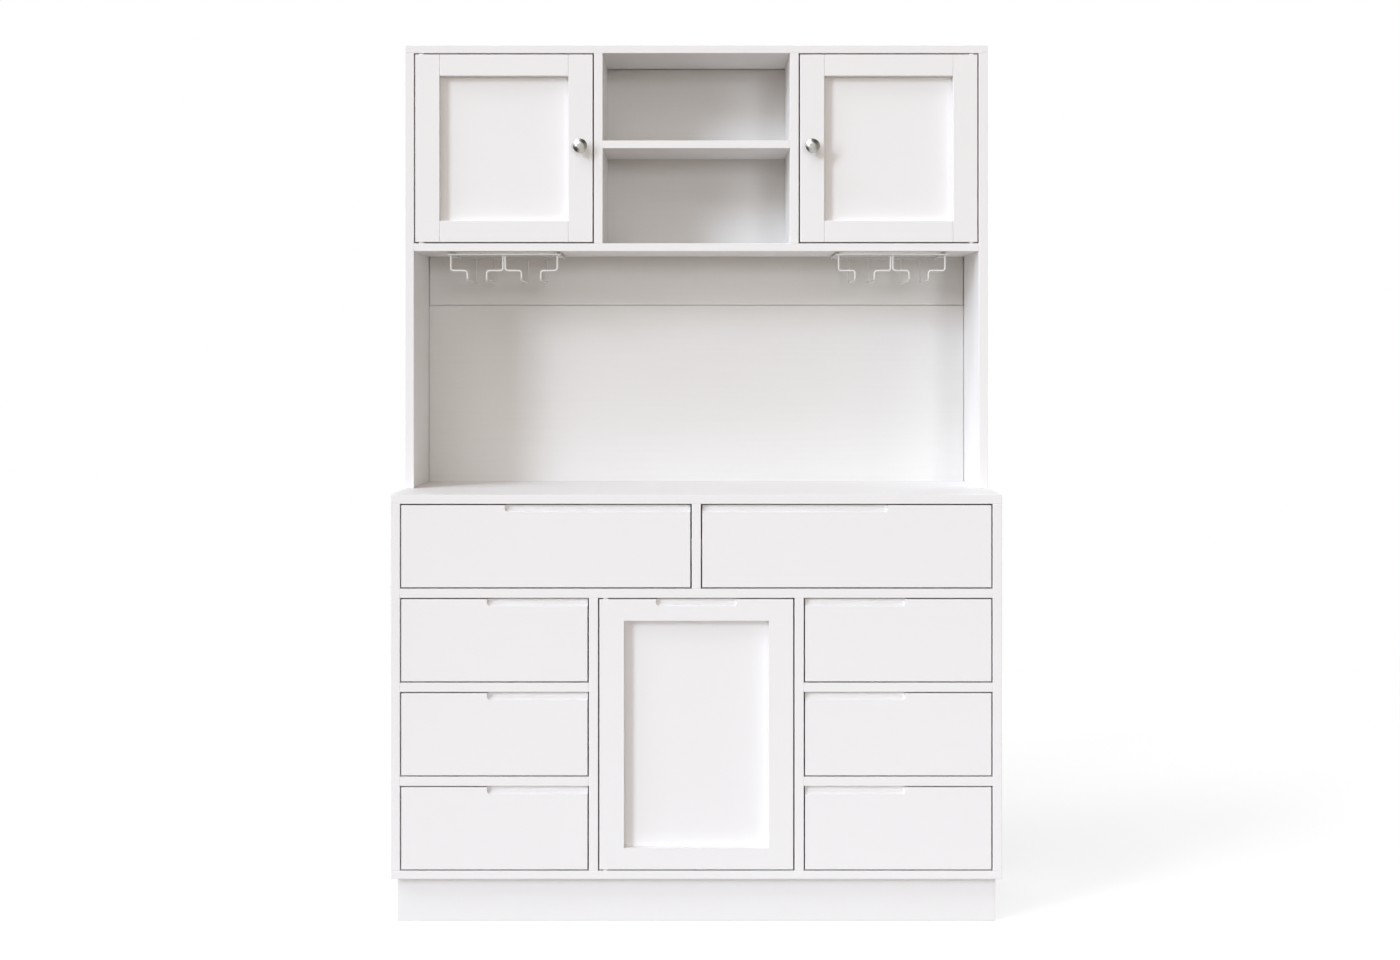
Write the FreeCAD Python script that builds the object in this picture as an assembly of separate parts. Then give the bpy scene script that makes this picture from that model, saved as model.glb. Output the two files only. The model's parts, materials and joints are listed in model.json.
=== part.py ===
import FreeCAD, Part
import math
import os

# White lacquered buffet cabinet: a base with drawers and a cupboard, and a shallower hutch above it.
# Millimetres. X to the right, Y to the back, Z up. The origin is on the floor, under the middle.

# Carcass
overall_width = 1200.0
base_depth = 400.0
hutch_depth = 224.0
board_thickness = 18.0
bottom_board_thickness = 16.0
hutch_board_thickness = 16.0
edge_flat = 0.7
side_bay_width = 371.0
row_height = 166.6
narrow_levels = ("lower", "middle", "upper")
niche_height = 488.6
cupboard_height = 392.0
open_shelf_height = 196.0
front_rail_depth = 90.0

# Plinth
plinth_height = 88.0
plinth_front_setback = 20.0
plinth_rear_setback = 20.0
plinth_side_setback = 10.0

# Back panels
back_thickness = 6.0
back_setback = 9.0
back_groove_depth = 8.0
back_play = 0.2
back_seam_drop = 105.5
back_seam_gap = 1.3
upper_back_rebate = 2.0
lower_back_rebate = 1.0
back_rebate_depth = 4.0
seam_strip_height = 40.0
seam_strip_thickness = 5.0
seam_strip_end_gap = 0.5

# Drawer fronts and doors, set flush into their openings
front_thickness = 18.0
front_gap = 2.7
groove_height = 13.5
groove_depth = 11.0
groove_end_radius = 7.0
narrow_groove_length = 197.5
wide_groove_length = 364.5
door_groove_length = 159.0

# Framed doors
door_thickness = 22.0
upper_stile_width = 50.0
upper_rail_height = 44.0
lower_stile_width = 48.0
lower_rail_height = 42.0
panel_thickness = 5.0
panel_lap = 8.0
panel_play = 0.2
tenon_length = 20.0
tenon_thickness = 7.0
tenon_shoulder = 9.0
tenon_play = 0.1
shoulder_gap = 0.3

# Door pivots, catches and knobs
pivot_from_edge = 12.0
pivot_from_face = 7.0
pin_radius = 2.5
pin_in_board = 12.0
pin_in_door = 12.0
pin_running_play = 0.05
bush_radius = 4.0
bush_length = 14.0
bush_flange_radius = 5.5
fit_play = 0.05
seat_gap = 0.3
catch_width = 28.0
catch_depth = 20.0
catch_height = 12.0
catch_ear_reach = 7.0
catch_ear_depth = 12.0
catch_ear_height = 3.0
catch_from_edge = 45.0
strike_height = 10.0
strike_thickness = 1.2
strike_inset = 2.0
knob_radius = 15.0
knob_projection = 26.0
knob_above_middle = 3.0
knob_base_radius = 8.0
knob_base_height = 1.5
knob_base_slope = 2.5
knob_neck_radius = 5.5
knob_flare = 6.0
knob_rim = 2.0
knob_round = 1.5
knob_dome_slope = 40.0
knob_screw_radius = 2.0
knob_screw_in_knob = 11.0
knob_screw_head_radius = 4.0
knob_screw_head_height = 2.4
knob_screw_hole_play = 0.25

# Drawer boxes
drawer_board_thickness = 12.0
drawer_bottom_thickness = 5.0
drawer_groove_depth = 6.0
drawer_groove_play = 0.1
box_lift = 16.0
box_headroom = 25.0
box_rear_clearance = 17.0
drawer_bottom_lift = 10.0

# Drawer runners
runner_width = 12.7
runner_height = 35.0
runner_steel = 1.2
runner_play = 0.3
runner_side_gap = 1.0
runner_front_setback = 2.0

# Cupboard shelf and its pins
cupboard_shelf_height = 258.0
shelf_front_setback = 28.0
shelf_rear_gap = 2.0
shelf_side_play = 0.5
shelf_pin_radius = 2.5
shelf_pin_in_board = 8.0
shelf_pin_reach = 9.0
shelf_pin_inset = 45.0
shelf_hole_pitch = 32.0
shelf_hole_steps = (-1, 0, 1)

# Glass racks
rack_from_side = 181.0
rack_shift = 3.5
rack_front_setback = 15.0
rack_rail_length = 150.0
rack_ring_width = 232.0
rack_ring_bar = 10.0
rack_ring_steel = 3.0
rack_spacer_height = 4.7
rack_spacer_radius = 4.5
rack_wire_radius = 2.0
rack_wire_bend = 6.0
rack_jog_drop = 39.6
rack_rail_drop = 58.8
rack_outer_wire = 110.0
rack_outer_rail = 76.0
rack_inner_wire = 2.4
rack_inner_rail = 36.0
rack_screw_inset = 30.0

# Wall brackets
bracket_width = 30.0
bracket_leg = 34.0
bracket_steel = 2.0
bracket_hole_radius = 2.75
bracket_hole_drop = 20.0
bracket_screw_spacing = 18.0

# Screws and dowels
screw_radius = 2.0
screw_head_radius = 3.8
screw_head_height = 2.2
screw_hole_play = 0.2
rack_screw_in_board = 11.0
bracket_screw_in_board = 12.0
dowel_radius = 4.0
dowel_length = 30.0
dowel_in_face = 10.0
dowel_end_gap = 0.5
dowel_inset = 50.0
rail_dowel_inset = 25.0

# Faces and levels that the boards share
right, left = 1, -1
half_width = overall_width / 2
front_y = -base_depth / 2
rear_y = base_depth / 2
hutch_front_y = rear_y - hutch_depth
back_y = rear_y - back_setback - back_thickness
side_face = half_width - board_thickness
divider_face = side_face - side_bay_width
centre_face = divider_face - board_thickness
front_back_y = front_y + front_thickness
box_end_y = back_y - box_rear_clearance
bay_centre = (divider_face + side_face) / 2

base_floor_z = plinth_height + bottom_board_thickness
row_pitch = row_height + board_thickness
narrow_rows = len(narrow_levels)
deck_z = base_floor_z + narrow_rows * row_pitch - board_thickness
top_row_z = deck_z + board_thickness
worktop_z = top_row_z + row_height
counter_z = worktop_z + board_thickness
niche_top_z = counter_z + niche_height
hutch_floor_z = niche_top_z + hutch_board_thickness
open_shelf_z = hutch_floor_z + open_shelf_height
hutch_top_z = hutch_floor_z + cupboard_height
seam_z = niche_top_z - back_seam_drop

x_axis = FreeCAD.Vector(1, 0, 0)
y_axis = FreeCAD.Vector(0, 1, 0)
z_axis = FreeCAD.Vector(0, 0, 1)


def plain_board(x0, x1, y0, y1, z0, z1):
    corner = FreeCAD.Vector(min(x0, x1), min(y0, y1), min(z0, z1))
    return Part.makeBox(abs(x1 - x0), abs(y1 - y0), abs(z1 - z0), corner)


def lacquered_board(x0, x1, y0, y1, z0, z1):
    board = plain_board(x0, x1, y0, y1, z0, z1)
    return board.makeChamfer(edge_flat, board.Edges)


def rod(radius, start, direction, length):
    return Part.makeCylinder(radius, length, start, direction)


def mirrored(shape):
    return shape.mirror(FreeCAD.Vector(0, 0, 0), x_axis)


# The carcass boards by name, and what is cut out of each of them
boards = {}
cuts = {}


def add_board(name, shape):
    boards[name] = shape
    cuts[name] = []


def add_pair(name, shape):
    add_board(name + "_right", shape)
    add_board(name + "_left", mirrored(shape))


def side_word(side):
    return "right" if side == right else "left"


def side_name(name, side):
    return name + "_" + side_word(side)


def add_base_boards():
    half_board = board_thickness / 2
    overall = (-half_width, half_width, front_y, rear_y)
    add_board("worktop", lacquered_board(*overall, worktop_z, counter_z))
    add_board("base_bottom", lacquered_board(*overall, plinth_height, base_floor_z))
    add_pair("base_side", lacquered_board(side_face, half_width, front_y, rear_y, base_floor_z, worktop_z))
    add_board("base_deck", lacquered_board(-side_face, side_face, front_y, back_y, deck_z, top_row_z))
    add_board("top_divider", lacquered_board(-half_board, half_board, front_y, back_y, top_row_z, worktop_z))
    add_pair("base_divider", lacquered_board(centre_face, divider_face, front_y, back_y,
                                             base_floor_z, deck_z))
    for row in range(1, narrow_rows):
        rail_z = base_floor_z + row * row_pitch - board_thickness
        rail = lacquered_board(divider_face, side_face, front_y, front_y + front_rail_depth,
                               rail_z, rail_z + board_thickness)
        add_pair("front_rail_" + str(row), rail)


def add_hutch_boards():
    top_z = hutch_top_z + hutch_board_thickness
    shelf_top_z = open_shelf_z + hutch_board_thickness
    overall = (-half_width, half_width, hutch_front_y, rear_y)
    inside = (hutch_front_y, back_y)
    add_pair("hutch_side", lacquered_board(side_face, half_width, hutch_front_y, rear_y,
                                           counter_z, hutch_top_z))
    add_board("hutch_top", lacquered_board(*overall, hutch_top_z, top_z))
    add_board("hutch_bottom", lacquered_board(-side_face, side_face, *inside, niche_top_z, hutch_floor_z))
    add_pair("hutch_divider", lacquered_board(centre_face, divider_face, *inside, hutch_floor_z, hutch_top_z))
    add_board("open_shelf", lacquered_board(-centre_face, centre_face, *inside, open_shelf_z, shelf_top_z))


# Back panels slide into grooves in the boards round them. The two in the hutch have rebated edges, so that
# a shadow gap shows round them, and a strip behind their seam joins them.
def add_back_panels():
    panel_reach = side_face + back_groove_depth - back_play
    spread = (-panel_reach, panel_reach, back_y, back_y + back_thickness)
    base_low_z = base_floor_z - back_groove_depth + back_play
    base_high_z = worktop_z + back_groove_depth - back_play
    hutch_high_z = hutch_top_z + back_groove_depth - back_play
    add_board("base_back_panel", plain_board(*spread, base_low_z, base_high_z))
    tongue_y = back_y + back_rebate_depth
    lower = plain_board(*spread, counter_z, seam_z - back_seam_gap / 2)
    upper = plain_board(*spread, seam_z + back_seam_gap / 2, hutch_high_z)
    for side in (left, right):
        lower_field = side * (side_face - lower_back_rebate)
        upper_field = side * (side_face - upper_back_rebate)
        lower = lower.cut(plain_board(lower_field, side * half_width, back_y, tongue_y, counter_z, seam_z))
        upper = upper.cut(plain_board(upper_field, side * half_width, back_y, tongue_y, seam_z, hutch_high_z))
    upper = upper.cut(plain_board(-half_width, half_width, back_y, tongue_y,
                                  hutch_top_z - upper_back_rebate, hutch_high_z))
    add_board("hutch_back_lower", lower)
    add_board("hutch_back_upper", upper)
    strip_reach = side_face - seam_strip_end_gap
    strip_y = back_y + back_thickness
    add_board("seam_strip", plain_board(-strip_reach, strip_reach, strip_y, strip_y + seam_strip_thickness,
                                        seam_z - seam_strip_height / 2, seam_z + seam_strip_height / 2))


def cut_back_grooves():
    groove_y0 = back_y - back_play / 2
    groove_y1 = back_y + back_thickness + back_play / 2
    groove_x = side_face + back_groove_depth
    across = (-groove_x, groove_x, groove_y0, groove_y1)
    cuts["worktop"].append(plain_board(*across, worktop_z, worktop_z + back_groove_depth))
    cuts["base_bottom"].append(plain_board(*across, base_floor_z - back_groove_depth, base_floor_z))
    cuts["hutch_top"].append(plain_board(*across, hutch_top_z, hutch_top_z + back_groove_depth))
    for side in (left, right):
        along = (side * side_face, side * groove_x, groove_y0, groove_y1)
        cuts[side_name("base_side", side)].append(plain_board(*along, base_floor_z, worktop_z))
        cuts[side_name("hutch_side", side)].append(plain_board(*along, counter_z, hutch_top_z))


# A dowel stands across each board joint, deeper in the board whose end meets the other's face
dowels = []


def add_dowel(face_board, end_board, point, into_face):
    start = point - into_face * (dowel_length - dowel_in_face)
    dowels.append(rod(dowel_radius, start, into_face, dowel_length))
    hole = rod(dowel_radius + fit_play, start - into_face * dowel_end_gap, into_face,
               dowel_length + 2 * dowel_end_gap)
    cuts[face_board].append(hole)
    cuts[end_board].append(hole)


def add_base_dowels():
    side_middle = side_face + board_thickness / 2
    divider_middle = centre_face + board_thickness / 2
    deck_middle_z = deck_z + board_thickness / 2
    for side in (left, right):
        outward = x_axis * side
        base_side = side_name("base_side", side)
        base_divider = side_name("base_divider", side)
        for y in (front_y + dowel_inset, rear_y - dowel_inset):
            side_head = FreeCAD.Vector(side * side_middle, y, worktop_z)
            side_foot = FreeCAD.Vector(side * side_middle, y, base_floor_z)
            add_dowel("worktop", base_side, side_head, z_axis)
            add_dowel("base_bottom", base_side, side_foot, -z_axis)
        for y in (front_y + dowel_inset, back_y - dowel_inset):
            deck_end = FreeCAD.Vector(side * side_face, y, deck_middle_z)
            divider_head = FreeCAD.Vector(side * divider_middle, y, deck_z)
            divider_foot = FreeCAD.Vector(side * divider_middle, y, base_floor_z)
            add_dowel(base_side, "base_deck", deck_end, outward)
            add_dowel("base_deck", base_divider, divider_head, z_axis)
            add_dowel("base_bottom", base_divider, divider_foot, -z_axis)
        for row in range(1, narrow_rows):
            front_rail = side_name("front_rail_" + str(row), side)
            rail_middle_z = base_floor_z + row * row_pitch - board_thickness / 2
            for y in (front_y + rail_dowel_inset, front_y + front_rail_depth - rail_dowel_inset):
                outer_end = FreeCAD.Vector(side * side_face, y, rail_middle_z)
                inner_end = FreeCAD.Vector(side * divider_face, y, rail_middle_z)
                add_dowel(base_side, front_rail, outer_end, outward)
                add_dowel(base_divider, front_rail, inner_end, -outward)
    for y in (front_y + dowel_inset, back_y - dowel_inset):
        add_dowel("worktop", "top_divider", FreeCAD.Vector(0, y, worktop_z), z_axis)
        add_dowel("base_deck", "top_divider", FreeCAD.Vector(0, y, top_row_z), -z_axis)


def add_hutch_dowels():
    side_middle = side_face + board_thickness / 2
    divider_middle = centre_face + board_thickness / 2
    bottom_middle_z = niche_top_z + hutch_board_thickness / 2
    shelf_middle_z = open_shelf_z + hutch_board_thickness / 2
    for side in (left, right):
        outward = x_axis * side
        hutch_side = side_name("hutch_side", side)
        hutch_divider = side_name("hutch_divider", side)
        for y in (hutch_front_y + dowel_inset, rear_y - dowel_inset):
            side_head = FreeCAD.Vector(side * side_middle, y, hutch_top_z)
            side_foot = FreeCAD.Vector(side * side_middle, y, counter_z)
            add_dowel("hutch_top", hutch_side, side_head, z_axis)
            add_dowel("worktop", hutch_side, side_foot, -z_axis)
        for y in (hutch_front_y + dowel_inset, back_y - dowel_inset):
            bottom_end = FreeCAD.Vector(side * side_face, y, bottom_middle_z)
            divider_head = FreeCAD.Vector(side * divider_middle, y, hutch_top_z)
            divider_foot = FreeCAD.Vector(side * divider_middle, y, hutch_floor_z)
            shelf_end = FreeCAD.Vector(side * centre_face, y, shelf_middle_z)
            add_dowel(hutch_side, "hutch_bottom", bottom_end, outward)
            add_dowel("hutch_top", hutch_divider, divider_head, z_axis)
            add_dowel("hutch_bottom", hutch_divider, divider_foot, -z_axis)
            add_dowel(hutch_divider, "open_shelf", shelf_end, outward)


def screw(seat, direction, length, radius, head_radius, head_height):
    shank = rod(radius, seat, direction, length)
    head = rod(head_radius, seat, -direction, head_height)
    return shank.fuse(head).removeSplitter()


screws = []


def plinth_boards():
    outer_x = half_width - plinth_side_setback
    front_edge = front_y + plinth_front_setback
    rear_edge = rear_y - plinth_rear_setback
    front_inner = front_edge + board_thickness
    rear_inner = rear_edge - board_thickness
    half_board = board_thickness / 2
    end = lacquered_board(outer_x - board_thickness, outer_x, front_inner, rear_inner, 0, plinth_height)
    return [
        lacquered_board(-outer_x, outer_x, front_edge, front_inner, 0, plinth_height),
        lacquered_board(-outer_x, outer_x, rear_inner, rear_edge, 0, plinth_height),
        end,
        mirrored(end),
        lacquered_board(-half_board, half_board, front_inner, rear_inner, 0, plinth_height),
    ]


# The cupboard shelf lies on four pins, which can be moved to other holes
def cupboard_shelf():
    half_shelf = centre_face - shelf_side_play
    shelf_z = base_floor_z + cupboard_shelf_height
    shelf_y0 = front_y + door_thickness + shelf_front_setback
    shelf_y1 = back_y - shelf_rear_gap
    shelf = lacquered_board(-half_shelf, half_shelf, shelf_y0, shelf_y1, shelf_z, shelf_z + board_thickness)
    pins = []
    for side in (left, right):
        outward = x_axis * side
        for y in (shelf_y0 + shelf_pin_inset, shelf_y1 - shelf_pin_inset):
            face = FreeCAD.Vector(side * centre_face, y, shelf_z - shelf_pin_radius - fit_play)
            pins.append(rod(shelf_pin_radius, face - outward * shelf_pin_reach, outward,
                            shelf_pin_reach + shelf_pin_in_board))
            for step in shelf_hole_steps:
                hole = rod(shelf_pin_radius + fit_play, face + z_axis * step * shelf_hole_pitch, outward,
                           shelf_pin_in_board + dowel_end_gap)
                cuts[side_name("base_divider", side)].append(hole)
    return shelf, pins


# A round wire bent along straight runs, with the same bend at every corner
def bent_wire(points, radius, bend):
    edges = []
    run_start = points[0]
    for before, corner, after in zip(points, points[1:], points[2:]):
        arriving = (corner - before).normalize()
        leaving = (after - corner).normalize()
        setback = bend * math.tan(arriving.getAngle(leaving) / 2)
        arc_start = corner - arriving * setback
        arc_end = corner + leaving * setback
        inward = (leaving - arriving).normalize()
        middle = corner + inward * (math.hypot(setback, bend) - bend)
        edges.append(Part.LineSegment(run_start, arc_start).toShape())
        edges.append(Part.Arc(arc_start, middle, arc_end).toShape())
        run_start = arc_end
    edges.append(Part.LineSegment(run_start, points[-1]).toShape())
    section = Part.Wire(Part.makeCircle(radius, points[0], points[1] - points[0]))
    return Part.Wire(edges).makePipeShell([section], True, False)


# A rack is a flat ring with four wires that carry two rows of stem glasses.
# Spacers hold it off the hutch bottom.
def glass_rack(side):
    centre_x = side * (side_face - rack_from_side) + rack_shift
    front_wire_y = hutch_front_y + rack_front_setback
    rear_wire_y = front_wire_y + rack_rail_length
    half_bar = rack_ring_bar / 2
    half_ring = rack_ring_width / 2
    ring_top_z = niche_top_z - rack_spacer_height
    ring_z = ring_top_z - rack_ring_steel
    ring = plain_board(centre_x - half_ring, centre_x + half_ring,
                       front_wire_y - half_bar, rear_wire_y + half_bar, ring_z, ring_top_z)
    half_hole = half_ring - rack_ring_bar
    ring = ring.cut(plain_board(centre_x - half_hole, centre_x + half_hole,
                                front_wire_y + half_bar, rear_wire_y - half_bar, ring_z, ring_top_z))
    pieces = []
    for screw_side in (left, right):
        for y in (front_wire_y + rack_screw_inset, rear_wire_y - rack_screw_inset):
            seat = FreeCAD.Vector(centre_x + screw_side * (half_ring - half_bar), y, ring_z)
            spacer = rod(rack_spacer_radius, seat + z_axis * rack_ring_steel, z_axis, rack_spacer_height)
            screw_hole = rod(screw_radius + screw_hole_play, seat, z_axis,
                             rack_ring_steel + rack_spacer_height)
            pieces.append(spacer.cut(screw_hole))
            ring = ring.cut(screw_hole)
            length = rack_ring_steel + rack_spacer_height + rack_screw_in_board
            screws.append(screw(seat, z_axis, length, screw_radius, screw_head_radius, screw_head_height))
            cuts["hutch_bottom"].append(rod(screw_radius + fit_play, seat, z_axis, length + dowel_end_gap))
    pieces.append(ring)
    jog_z = niche_top_z - rack_jog_drop
    rail_z = niche_top_z - rack_rail_drop
    offsets = ((rack_outer_wire, rack_outer_rail), (rack_inner_wire, rack_inner_rail))
    for hand in (left, right):
        for wire_offset, rail_offset in offsets:
            wire_x = centre_x + hand * wire_offset
            rail_x = centre_x + hand * rail_offset
            route = [
                FreeCAD.Vector(wire_x, front_wire_y, ring_z),
                FreeCAD.Vector(wire_x, front_wire_y, jog_z),
                FreeCAD.Vector(rail_x, front_wire_y, jog_z),
                FreeCAD.Vector(rail_x, front_wire_y, rail_z),
                FreeCAD.Vector(rail_x, rear_wire_y, rail_z),
                FreeCAD.Vector(rail_x, rear_wire_y, ring_z),
            ]
            pieces.append(bent_wire(route, rack_wire_radius, rack_wire_bend))
    return pieces


# An angle bracket in each upper cupboard takes a screw through the back panel into the wall
def wall_bracket(side):
    centre_x = side * bay_centre
    half_bracket = bracket_width / 2
    reach_y = back_y - bracket_leg
    flat = plain_board(centre_x - half_bracket, centre_x + half_bracket, reach_y, back_y,
                       hutch_top_z - bracket_steel, hutch_top_z)
    upright = plain_board(centre_x - half_bracket, centre_x + half_bracket, back_y - bracket_steel, back_y,
                          hutch_top_z - bracket_leg, hutch_top_z)
    bracket = flat.fuse(upright).removeSplitter()
    wall_hole = rod(bracket_hole_radius, FreeCAD.Vector(centre_x, reach_y, hutch_top_z - bracket_hole_drop),
                    y_axis, rear_y - reach_y)
    bracket = bracket.cut(wall_hole)
    cuts["hutch_back_upper"].append(wall_hole)
    for screw_side in (left, right):
        seat = FreeCAD.Vector(centre_x + screw_side * bracket_screw_spacing / 2, (reach_y + back_y) / 2,
                              hutch_top_z - bracket_steel)
        length = bracket_steel + bracket_screw_in_board
        bracket = bracket.cut(rod(screw_radius + screw_hole_play, seat, z_axis, bracket_steel))
        screws.append(screw(seat, z_axis, length, screw_radius, screw_head_radius, screw_head_height))
        cuts["hutch_top"].append(rod(screw_radius + fit_play, seat, z_axis, length + dowel_end_gap))
    return bracket


# A cove along the top edge of a front, for the fingers, with rounded ends where it stops in the wood
def finger_groove(x0, x1, face_y, top_z, rounded_ends):
    radius = (groove_height ** 2 + groove_depth ** 2) / (2 * groove_depth)
    axis_start = FreeCAD.Vector(x0, face_y - (radius - groove_depth), top_z)
    cove = rod(radius, axis_start, x_axis, x1 - x0)
    rims = [rim for rim in cove.Edges if isinstance(rim.Curve, Part.Circle)]
    ends = [min(rims, key=lambda rim: abs(rim.Curve.Center.x - x)) for x in rounded_ends]
    return cove.makeFillet(groove_end_radius, ends)


def runner_channel(wall_x, tip_x, y0, y1, z0, z1):
    inward = 1 if tip_x > wall_x else -1
    channel = plain_board(wall_x, tip_x, y0, y1, z0, z1)
    hollow = plain_board(wall_x + inward * runner_steel, tip_x, y0, y1, z0 + runner_steel, z1 - runner_steel)
    return channel.cut(hollow)


nodes = {}
runner_rails = []


# A drawer between the walls x0 and x1: front, box and sliding rails.
# Its finger groove runs out at the end nearer to the cabinet's middle.
def add_drawer(key, x0, x1, floor_z, groove_length):
    face_x0 = x0 + front_gap
    face_x1 = x1 - front_gap
    face_z0 = floor_z + front_gap
    face_z1 = floor_z + row_height - front_gap
    face = lacquered_board(face_x0, face_x1, front_y, front_back_y, face_z0, face_z1)
    if x0 + x1 < 0:
        stop_x = face_x1 - groove_length
        groove = finger_groove(stop_x, x1, front_y, face_z1, [stop_x])
    else:
        stop_x = face_x0 + groove_length
        groove = finger_groove(x0, stop_x, front_y, face_z1, [stop_x])
    face = face.cut(groove)

    box_x0 = x0 + runner_width
    box_x1 = x1 - runner_width
    inner_x0 = box_x0 + drawer_board_thickness
    inner_x1 = box_x1 - drawer_board_thickness
    box_z0 = floor_z + box_lift
    box_z1 = floor_z + row_height - box_headroom
    bottom_z0 = box_z0 + drawer_bottom_lift
    bottom_z1 = bottom_z0 + drawer_bottom_thickness
    groove_z = (bottom_z0 - drawer_groove_play, bottom_z1 + drawer_groove_play)
    side_groove_x0 = inner_x0 - drawer_groove_depth
    side_groove_x1 = inner_x1 + drawer_groove_depth
    front_groove_y = front_back_y - drawer_groove_depth
    bottom_groove = plain_board(side_groove_x0, side_groove_x1, front_groove_y, box_end_y, *groove_z)
    bottom = plain_board(side_groove_x0 + drawer_groove_play, side_groove_x1 - drawer_groove_play,
                         front_groove_y + drawer_groove_play, box_end_y, bottom_z0, bottom_z1)
    sides = [
        plain_board(box_x0, inner_x0, front_back_y, box_end_y, box_z0, box_z1).cut(bottom_groove),
        plain_board(inner_x1, box_x1, front_back_y, box_end_y, box_z0, box_z1).cut(bottom_groove),
    ]
    back = plain_board(inner_x0, inner_x1, box_end_y - drawer_board_thickness, box_end_y, bottom_z1, box_z1)

    runner_y0 = front_back_y + runner_front_setback
    runner_z0 = (box_z0 + box_z1 - runner_height) / 2
    runner_z1 = runner_z0 + runner_height
    slide_z0 = runner_z0 + runner_steel + runner_play
    slide_z1 = runner_z1 - runner_steel - runner_play
    slides = []
    for wall_x, box_x in ((x0, box_x0), (x1, box_x1)):
        inward = 1 if box_x > wall_x else -1
        rail_tip = box_x - inward * runner_side_gap
        slide_tip = wall_x + inward * (runner_steel + runner_play)
        runner_rails.append(runner_channel(wall_x, rail_tip, runner_y0, box_end_y, runner_z0, runner_z1))
        slides.append(runner_channel(box_x, slide_tip, runner_y0, box_end_y, slide_z0, slide_z1))

    nodes[key + "_drawer_front"] = [face.cut(bottom_groove)]
    nodes[key + "_drawer_box"] = sides + [back, bottom]
    nodes[key + "_drawer_slides"] = slides


def add_drawers():
    half_board = board_thickness / 2
    add_drawer("top_left", -side_face, -half_board, top_row_z, wide_groove_length)
    add_drawer("top_right", half_board, side_face, top_row_z, wide_groove_length)
    for row, level in enumerate(narrow_levels):
        floor_z = base_floor_z + row * row_pitch
        add_drawer("left_" + level, -side_face, -divider_face, floor_z, narrow_groove_length)
        add_drawer("right_" + level, divider_face, side_face, floor_z, narrow_groove_length)


# The field at the back of a door frame that the panel fills, lapping onto the frame all round
def panel_field(x0, x1, z0, z1, face_y, stile, rail, lap):
    back = face_y + door_thickness
    return plain_board(x0 + stile - lap, x1 - stile + lap, back - panel_thickness, back,
                       z0 + rail - lap, z1 - rail + lap)


# Stiles run the full height. Each rail has a stub tenon at both ends, in a mortise in the stile.
def tenoned_frame(x0, x1, z0, z1, face_y, stile, rail):
    back = face_y + door_thickness
    rebate = panel_field(x0, x1, z0, z1, face_y, stile, rail, panel_lap)
    tenon_x0 = x0 + stile - tenon_length
    tenon_x1 = x1 - stile + tenon_length
    tenon_y0 = face_y + (door_thickness - panel_thickness - tenon_thickness) / 2
    tenon_y1 = tenon_y0 + tenon_thickness
    rails = []
    stile_cuts = [rebate]
    for rail_z0 in (z0, z1 - rail):
        tenon_z0 = rail_z0 + tenon_shoulder
        tenon_z1 = rail_z0 + rail - tenon_shoulder
        tenon = plain_board(tenon_x0, tenon_x1, tenon_y0, tenon_y1, tenon_z0, tenon_z1)
        body = lacquered_board(x0 + stile + shoulder_gap, x1 - stile - shoulder_gap, face_y, back,
                               rail_z0, rail_z0 + rail)
        rails.append(body.fuse(tenon).removeSplitter().cut(rebate))
        stile_cuts.append(plain_board(tenon_x0 - tenon_play, tenon_x1 + tenon_play, tenon_y0 - tenon_play,
                                      tenon_y1 + tenon_play, tenon_z0 - tenon_play, tenon_z1 + tenon_play))
    stiles = [
        lacquered_board(x0, x0 + stile, face_y, back, z0, z1).cut(stile_cuts),
        lacquered_board(x1 - stile, x1, face_y, back, z0, z1).cut(stile_cuts),
    ]
    return stiles, rails


# The same frame with its joints filled and lacquered over, so that no line shows where its pieces meet
def filled_frame(x0, x1, z0, z1, face_y, stile, rail):
    back = face_y + door_thickness
    whole = lacquered_board(x0, x1, face_y, back, z0, z1)
    whole = whole.cut(plain_board(x0 + stile, x1 - stile, face_y, back, z0 + rail, z1 - rail))
    whole = whole.cut(panel_field(x0, x1, z0, z1, face_y, stile, rail, panel_lap))
    stiles = [
        whole.common(plain_board(x0, x0 + stile, face_y, back, z0, z1)),
        whole.common(plain_board(x1 - stile, x1, face_y, back, z0, z1)),
    ]
    rails = [
        whole.common(plain_board(x0 + stile, x1 - stile, face_y, back, z0, z0 + rail)),
        whole.common(plain_board(x0 + stile, x1 - stile, face_y, back, z1 - rail, z1)),
    ]
    return stiles, rails


pivot_pins = []
door_catches = []


# Pivots at the top and bottom of a door: a pin in the carcass board turns in a bush in the hinge stile
def add_pivots(x, face_y, z0, z1, floor_board, ceiling_board):
    y = face_y + pivot_from_face
    bushes = []
    bores = []
    for edge_z, into_door, board in ((z0, z_axis, floor_board), (z1, -z_axis, ceiling_board)):
        edge = FreeCAD.Vector(x, y, edge_z)
        seat = edge - into_door * front_gap
        pin_start = seat - into_door * pin_in_board
        pivot_pins.append(rod(pin_radius, pin_start, into_door, pin_in_board + front_gap + pin_in_door))
        cuts[board].append(rod(pin_radius + fit_play, pin_start - into_door * dowel_end_gap, into_door,
                               pin_in_board + dowel_end_gap))
        flange_height = front_gap - seat_gap
        sleeve = rod(bush_radius, edge, into_door, bush_length)
        flange = rod(bush_flange_radius, edge, -into_door, flange_height)
        bore = rod(pin_radius + pin_running_play, edge - into_door * flange_height, into_door,
                   bush_length + flange_height)
        bushes.append(sleeve.fuse(flange).removeSplitter().cut(bore))
        bores.append(rod(bush_radius + fit_play, edge, into_door, bush_length + dowel_end_gap))
    return bushes, bores


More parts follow.
